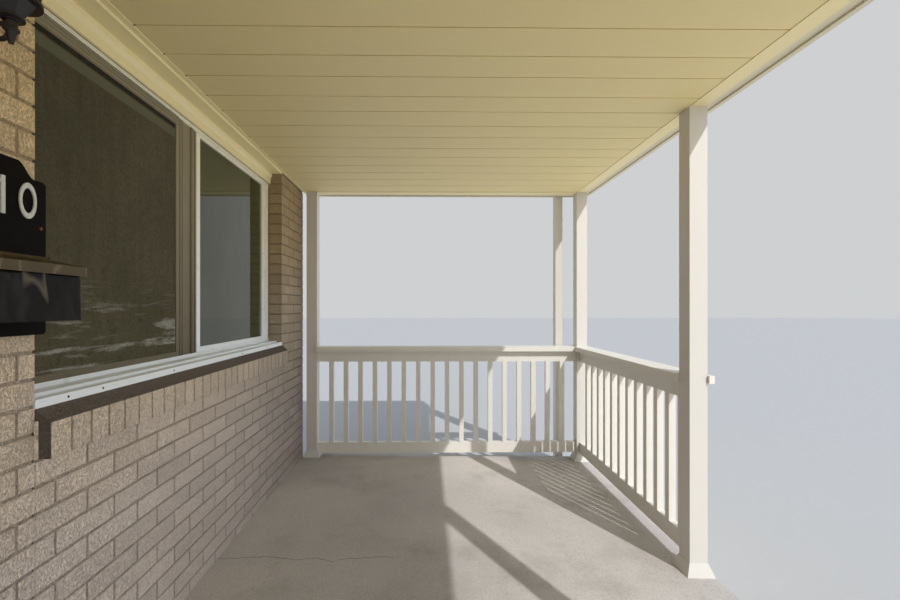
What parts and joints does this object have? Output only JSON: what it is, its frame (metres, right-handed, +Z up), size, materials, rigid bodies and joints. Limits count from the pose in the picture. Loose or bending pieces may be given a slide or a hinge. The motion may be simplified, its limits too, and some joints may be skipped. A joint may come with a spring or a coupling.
{
  "type": "front porch",
  "caption": "Covered front porch against a painted brick wall: concrete slab, square posts, baluster railings, boarded ceiling, gable roof, sliding window, door, lantern and wall mailbox.",
  "frame": {"origin": "middle of the underside of the slab, on the ground", "axes": "+X along the house to the end that the picture looks at, +Y into the house, +Z up"},
  "size_m": [5.217, 2.754, 3.5067],
  "materials": {
    "concrete": "broom-finished grey concrete, stained",
    "painted_brick": "taupe masonry paint over running-bond brick",
    "sill_paint": "dark grey-brown paint over bricks on edge",
    "wall_lining": "plain painted board",
    "white_vinyl": "white window vinyl, satin",
    "bronze_frame": "grey-brown painted aluminium",
    "window_glass": "clear glass",
    "insect_mesh": "dark woven insect mesh",
    "door_trim": "cream painted wood",
    "door_paint": "satin red-brown paint",
    "threshold_metal": "mill-finish aluminium",
    "cream_trim": "cream painted coil stock",
    "gutter_metal": "cream enamelled aluminium",
    "soffit_boards": "cream vinyl soffit, satin",
    "post_paint": "cream wrapped posts, satin",
    "railing_paint": "off-white painted wood",
    "lap_siding": "cream lap siding",
    "shingles": "dark grey asphalt shingles",
    "black_iron": "black painted cast metal",
    "lantern_glass": "clear lantern glass",
    "black_wood": "black painted wood, satin",
    "black_metal": "black gloss enamel",
    "brown_metal": "dark bronze gloss enamel"
  },
  "bodies": {
    "porch": {"porch_slab": "concrete", "brick_pier_far": "painted_brick", "brick_below_window": "painted_brick", "brick_pier_middle": "painted_brick", "brick_pier_near": "painted_brick", "brick_sill": "sill_paint", "framed_wall": "wall_lining", "window_frame": "white_vinyl", "window_mullion": "bronze_frame", "fixed_sash": "white_vinyl", "sliding_sash": "white_vinyl", "window_glass": "window_glass", "screen_frame": "bronze_frame", "insect_screen": "insect_mesh", "door_frame": "door_trim", "front_door": "door_paint", "door_threshold": "threshold_metal", "head_trim": "cream_trim", "ceiling_boards": "soffit_boards", "ceiling_channel": "cream_trim", "front_beam": "cream_trim", "end_beams": "cream_trim", "fascia": "cream_trim", "far_posts": "post_paint", "near_posts": "post_paint", "post_skirts": "post_paint", "far_end_railing": "railing_paint", "far_bay_railing": "railing_paint", "near_end_railing": "railing_paint", "near_bay_railing": "railing_paint", "far_handrail": "railing_paint", "near_handrail": "railing_paint", "gable_wall": "lap_siding", "gable_closure": "wall_lining", "rake_boards": "cream_trim", "far_roof_slope": "shingles", "near_roof_slope": "shingles", "far_gutter": "gutter_metal", "near_gutter": "gutter_metal", "downspouts": "gutter_metal", "lantern_body": "black_iron", "lantern_glass": "lantern_glass", "number_board": "black_wood", "mailbox_body": "black_metal"},
    "mailbox_lid": {"mailbox_lid": "brown_metal"}
  },
  "joints": [
    {"name": "lid_hinge", "type": "hinge", "parent": "porch", "child": "mailbox_lid", "pos_m": [-0.369, 1.192, 1.552], "axis": [-1, 0, 0], "range_deg": [0, 105]}
  ]
}
